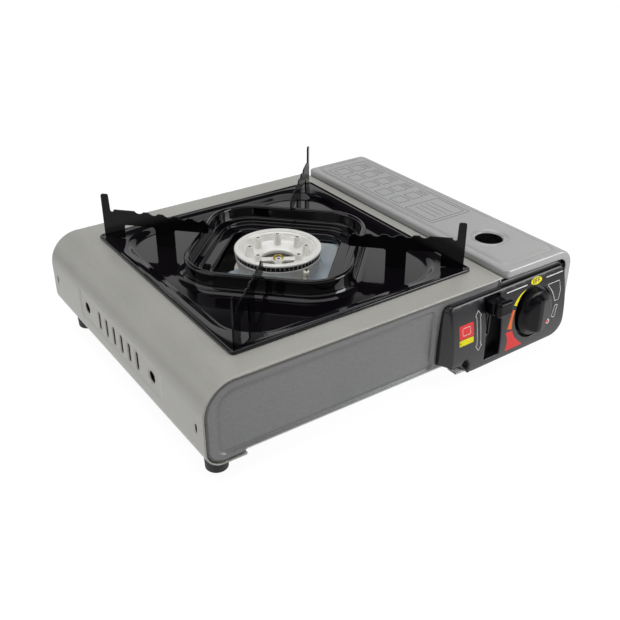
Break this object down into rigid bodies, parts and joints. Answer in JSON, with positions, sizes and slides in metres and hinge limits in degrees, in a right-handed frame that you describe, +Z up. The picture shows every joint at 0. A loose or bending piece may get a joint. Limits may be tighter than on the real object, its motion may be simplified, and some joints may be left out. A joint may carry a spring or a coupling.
{
  "type": "portable gas stove",
  "caption": "Portable cassette gas stove with a lift-off drip pan and pan supports, a burner, a control knob, a lock lever and a hinged lid over its cartridge bay.",
  "frame": {"origin": "on the ground, under the middle of the whole stove's box", "axes": "+X to the right along the front, -Y towards the cook (the knob's side), +Z up"},
  "size_m": [0.345, 0.2944, 0.1245],
  "materials": {
    "casing_paint": "satin silver-grey paint",
    "front_paint": "satin silver-grey paint",
    "lid_paint": "satin light grey paint",
    "pan_enamel": "gloss black enamel",
    "support_enamel": "gloss black enamel",
    "galvanised_sheet": "galvanised",
    "heat_plate": "galvanised, bluish",
    "screws": "zinc plated",
    "cast_aluminium": "as cast",
    "flame_ring": "heat-darkened",
    "brass_parts": "machined",
    "regulator_casting": "die cast",
    "electrode_wire": "bright",
    "ceramic_insulator": null,
    "lead_sleeve": "silicone sleeve",
    "seal_rubber": "moulded",
    "rubber_feet": "matt",
    "panel_plastic": "fine satin grain",
    "knob_plastic": "satin",
    "inner_plastic": "plain",
    "cam_plastic": "plain"
  },
  "bodies": {
    "casing": {"top_cover": "casing_paint", "front_panel": "front_paint", "rear_panel": "casing_paint", "base_plate": "galvanised_sheet", "cartridge_bay": "casing_paint", "regulator_bracket": "galvanised_sheet", "foot_front_left": "rubber_feet", "foot_front_right": "rubber_feet", "foot_rear_left": "rubber_feet", "foot_rear_right": "rubber_feet", "foot_screws": "screws", "control_panel": "panel_plastic", "panel_screws": "screws", "burner_bracket": "galvanised_sheet", "burner_base": "cast_aluminium", "burner_screws": "screws", "flame_ring": "flame_ring", "burner_head": "cast_aluminium", "burner_jet": "brass_parts", "mixing_tube": "galvanised_sheet", "injector": "brass_parts", "heat_plate": "heat_plate", "electrode_insulator": "ceramic_insulator", "electrode_pin": "electrode_wire", "regulator_body": "regulator_casting", "regulator_cover": "regulator_casting", "regulator_screws": "screws", "port_seal": "seal_rubber", "piezo_igniter": "inner_plastic", "ignition_lead": "lead_sleeve", "hinge_pins": "screws"},
    "lid": {"cartridge_lid": "lid_paint"},
    "knob": {"control_knob": "knob_plastic", "valve_spindle": "electrode_wire", "igniter_cam": "cam_plastic"},
    "lever": {"lock_lever": "knob_plastic", "cam_plate": "galvanised_sheet"},
    "slide": {"cartridge_slide": "galvanised_sheet"},
    "pan": {"drip_pan": "pan_enamel", "support_front_left": "support_enamel", "support_front_right": "support_enamel", "support_rear_left": "support_enamel", "support_rear_right": "support_enamel"}
  },
  "joints": [
    {"name": "lid_hinge", "type": "hinge", "parent": "casing", "child": "lid", "pos_m": [0.1685, 0.00975, 0.025], "axis": [0, 1, 0], "range_deg": [0, 95]},
    {"name": "knob_turn", "type": "hinge", "parent": "casing", "child": "knob", "pos_m": [0.1255, -0.13025, 0.047], "axis": [0, -1, 0], "range_deg": [0, 135]},
    {"name": "lever_drop", "type": "slide", "parent": "casing", "child": "lever", "axis": [0, 0, -1], "range_m": [0, 0.024]},
    {"name": "slide_advance", "type": "slide", "parent": "casing", "child": "slide", "axis": [0, -1, 0], "range_m": [0, 0.008]},
    {"name": "pan_lift", "type": "slide", "parent": "casing", "child": "pan", "axis": [0, 0, 1], "range_m": [0, 0.08]}
  ],
  "couplings": [
    {"joint": "slide_advance", "follows": "lever_drop", "ratio": 0.33333}
  ]
}
